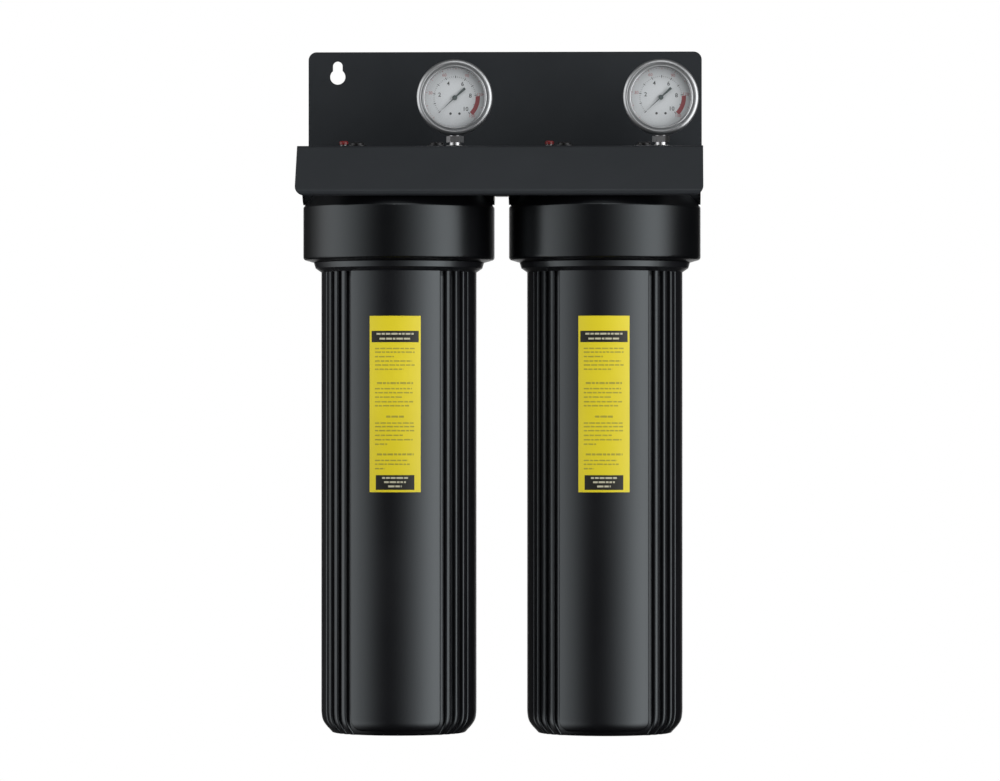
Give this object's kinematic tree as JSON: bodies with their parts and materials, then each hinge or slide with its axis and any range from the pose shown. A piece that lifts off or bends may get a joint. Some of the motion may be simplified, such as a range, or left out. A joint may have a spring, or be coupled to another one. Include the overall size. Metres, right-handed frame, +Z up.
{
  "type": "twin filter housing",
  "caption": "Twin filter housing: ribbed black sumps screwed into heads under a bent steel wall bracket, with pressure gauges and red relief buttons.",
  "frame": {"origin": "midway between the round parts of the two keyholes, on the bracket's wall face", "axes": "+X to the right as seen from the front, +Y into the wall, +Z up"},
  "size_m": [0.386, 0.1946, 0.6613],
  "materials": {
    "bracket_steel": "satin black powder coat",
    "housing_plastic": "satin moulded black",
    "brass": "machined",
    "black_steel": "black zinc",
    "gauge_chrome": "polished",
    "gauge_glass": "clear",
    "rubber": "matte",
    "dial_face": "matte light grey",
    "pointer_black": "matte black",
    "red_plastic": "glossy red",
    "spring_steel": "drawn wire",
    "cartridge_plastic": "moulded white",
    "pleated_media": "pleated white filter fabric",
    "carbon_block": "white wrap over a pressed carbon block"
  },
  "bodies": {
    "root": {"bracket": "bracket_steel", "joining_nipple": "brass", "inlet_insert": "brass", "left_outlet_insert": "brass", "right_inlet_insert": "brass", "outlet_insert": "brass", "left_head": "housing_plastic", "left_head_screws": "black_steel", "left_head_washers": "black_steel", "left_gauge_insert": "brass", "left_gauge_case": "gauge_chrome", "left_gauge_bezel": "gauge_chrome", "left_gauge_lens": "gauge_glass", "left_gauge_lens_gasket": "rubber", "left_gauge_dial": "dial_face", "left_gauge_movement": "brass", "left_gauge_tube": "brass", "left_gauge_socket": "gauge_chrome", "right_head": "housing_plastic", "right_head_screws": "black_steel", "right_head_washers": "black_steel", "right_gauge_insert": "brass", "right_gauge_case": "gauge_chrome", "right_gauge_bezel": "gauge_chrome", "right_gauge_lens": "gauge_glass", "right_gauge_lens_gasket": "rubber", "right_gauge_dial": "dial_face", "right_gauge_movement": "brass", "right_gauge_tube": "brass", "right_gauge_socket": "gauge_chrome"},
    "left_cartridge": {"left_cartridge_core": "cartridge_plastic", "left_cartridge_media": "pleated_media", "left_cartridge_cap_top": "cartridge_plastic", "left_cartridge_cap_bottom": "cartridge_plastic", "left_cartridge_gasket_top": "rubber", "left_cartridge_gasket_bottom": "rubber"},
    "left_oring": {"left_sump_oring": "rubber"},
    "left_sump": {"left_sump": "housing_plastic"},
    "left_relief": {"left_relief_button": "red_plastic", "left_relief_seal": "rubber", "left_relief_spring": "spring_steel"},
    "left_pointer": {"left_gauge_pointer": "pointer_black"},
    "left_sector": {"left_gauge_sector": "brass"},
    "right_cartridge": {"right_cartridge_core": "cartridge_plastic", "right_cartridge_media": "carbon_block", "right_cartridge_cap_top": "cartridge_plastic", "right_cartridge_cap_bottom": "cartridge_plastic", "right_cartridge_gasket_top": "rubber", "right_cartridge_gasket_bottom": "rubber"},
    "right_oring": {"right_sump_oring": "rubber"},
    "right_sump": {"right_sump": "housing_plastic"},
    "right_relief": {"right_relief_button": "red_plastic", "right_relief_seal": "rubber", "right_relief_spring": "spring_steel"},
    "right_pointer": {"right_gauge_pointer": "pointer_black"},
    "right_sector": {"right_gauge_sector": "brass"}
  },
  "joints": [
    {"name": "left_sump_pull_down", "type": "slide", "parent": "root", "child": "left_cartridge", "axis": [0, 0, -1], "range_m": [0, 0.1]},
    {"name": "left_sump_lead", "type": "slide", "parent": "left_cartridge", "child": "left_oring", "axis": [0, 0, -1], "range_m": [0, 0.0256]},
    {"name": "left_sump_turn", "type": "hinge", "parent": "left_oring", "child": "left_sump", "pos_m": [-0.099, -0.1, -0.3], "axis": [0, 0, -1], "range_deg": [0, 1440]},
    {"name": "left_button_press", "type": "slide", "parent": "root", "child": "left_relief", "axis": [0, 0, -1], "range_m": [0, 0.0025], "stiffness_N_per_m": 600, "springref_m": -0.002, "deforming": ["left_relief_spring"]},
    {"name": "left_pointer_swing", "type": "hinge", "parent": "root", "child": "left_pointer", "pos_m": [-0.045, -0.1, -0.0272], "axis": [0, 1, 0], "range_deg": [0, 270], "stiffness_Nm_per_rad": 0.0003, "springref_deg": -28.65},
    {"name": "left_sector_swing", "type": "hinge", "parent": "root", "child": "left_sector", "pos_m": [-0.045, -0.1, -0.03925], "axis": [0, 1, 0], "range_deg": [-55, 0]},
    {"name": "right_sump_pull_down", "type": "slide", "parent": "root", "child": "right_cartridge", "axis": [0, 0, -1], "range_m": [0, 0.1]},
    {"name": "right_sump_lead", "type": "slide", "parent": "right_cartridge", "child": "right_oring", "axis": [0, 0, -1], "range_m": [0, 0.0256]},
    {"name": "right_sump_turn", "type": "hinge", "parent": "right_oring", "child": "right_sump", "pos_m": [0.099, -0.1, -0.3], "axis": [0, 0, -1], "range_deg": [0, 1440]},
    {"name": "right_button_press", "type": "slide", "parent": "root", "child": "right_relief", "axis": [0, 0, -1], "range_m": [0, 0.0025], "stiffness_N_per_m": 600, "springref_m": -0.002, "deforming": ["right_relief_spring"]},
    {"name": "right_pointer_swing", "type": "hinge", "parent": "root", "child": "right_pointer", "pos_m": [0.153, -0.1, -0.0272], "axis": [0, 1, 0], "range_deg": [0, 270], "stiffness_Nm_per_rad": 0.0003, "springref_deg": -28.65},
    {"name": "right_sector_swing", "type": "hinge", "parent": "root", "child": "right_sector", "pos_m": [0.153, -0.1, -0.03925], "axis": [0, 1, 0], "range_deg": [-55, 0]}
  ],
  "couplings": [
    {"joint": "left_sump_lead", "follows": "left_sump_turn", "m_per_rad": 0.0010106},
    {"joint": "left_sector_swing", "follows": "left_pointer_swing", "ratio": -0.2},
    {"joint": "right_sump_lead", "follows": "right_sump_turn", "m_per_rad": 0.0010106},
    {"joint": "right_sector_swing", "follows": "right_pointer_swing", "ratio": -0.2}
  ]
}
